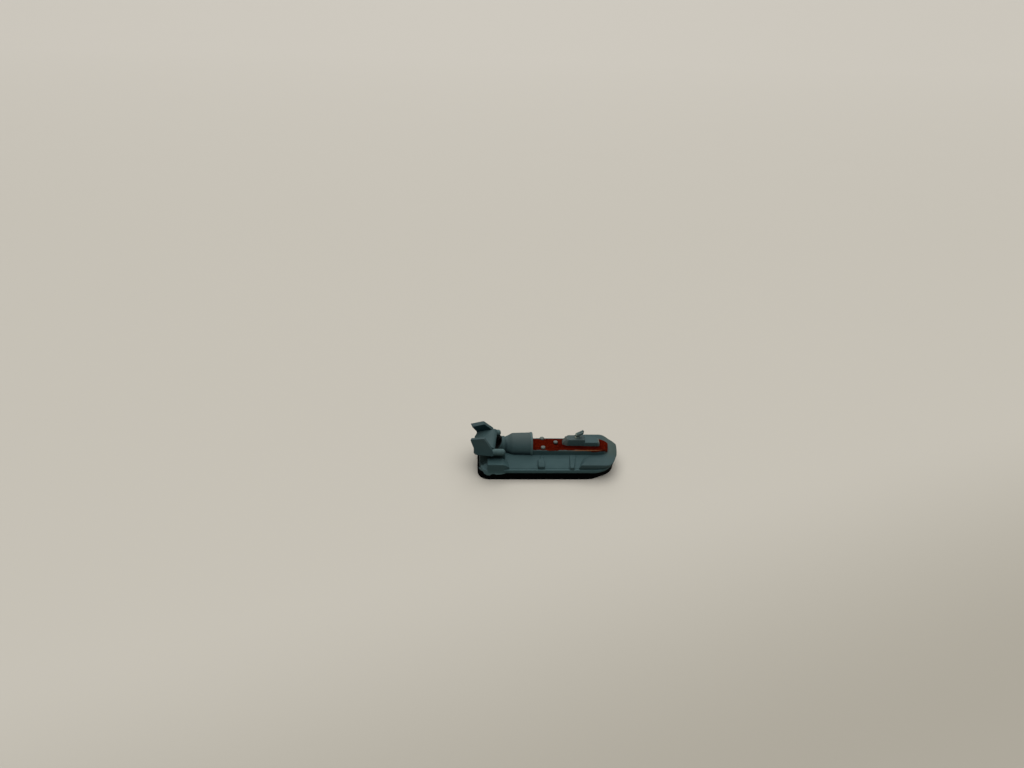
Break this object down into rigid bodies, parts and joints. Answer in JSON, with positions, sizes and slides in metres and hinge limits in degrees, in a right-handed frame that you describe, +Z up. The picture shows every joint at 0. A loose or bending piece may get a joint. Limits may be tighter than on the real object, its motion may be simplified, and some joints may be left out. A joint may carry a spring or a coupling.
{
  "type": "toy hovercraft",
  "caption": "Small toy hovercraft on a flat black base, with sloped side decks, a raised red deck, a cabin with a turning gun, a round drum engine and a finned tail.",
  "frame": {"origin": "on the surface it stands on, at the middle of the toy's box", "axes": "+X to the bow, +Y to port, +Z up"},
  "size_m": [0.05, 0.02, 0.0131],
  "materials": {
    "grey_paint": "satin hand-painted blue-grey",
    "light_grey_paint": "satin pale blue-grey",
    "black_base": "matte black",
    "red_paint": "satin hand-painted dark red"
  },
  "bodies": {
    "craft": {"skirt_base": "black_base", "hull": "grey_paint", "bow_deck": "grey_paint", "superstructure": "grey_paint", "red_deck": "red_paint", "engine_drum": "grey_paint", "intake_lip": "grey_paint", "intake_hub": "grey_paint", "exhaust_pipe": "grey_paint", "exhaust_flange": "grey_paint", "exhaust_outlet": "grey_paint", "stabiliser": "grey_paint", "cabin_rear": "grey_paint", "cabin_front": "grey_paint", "gun_pintle": "grey_paint", "post_port": "light_grey_paint", "post_starboard": "light_grey_paint", "post_middle": "light_grey_paint", "sponson_port": "grey_paint", "sponson_starboard": "grey_paint", "pylon_port": "grey_paint", "pylon_starboard": "grey_paint", "boom_port": "grey_paint", "boom_starboard": "grey_paint", "fin_port": "grey_paint", "fin_starboard": "grey_paint", "side_pod_port": "grey_paint", "side_pod_starboard": "grey_paint", "side_strap_port": "grey_paint", "side_strap_starboard": "grey_paint"},
    "gun": {"gun": "grey_paint"}
  },
  "joints": [
    {"name": "gun_swivel", "type": "hinge", "parent": "craft", "child": "gun", "pos_m": [0.01095, 0, 0.01087], "axis": [0, 0, 1], "continuous": true}
  ]
}
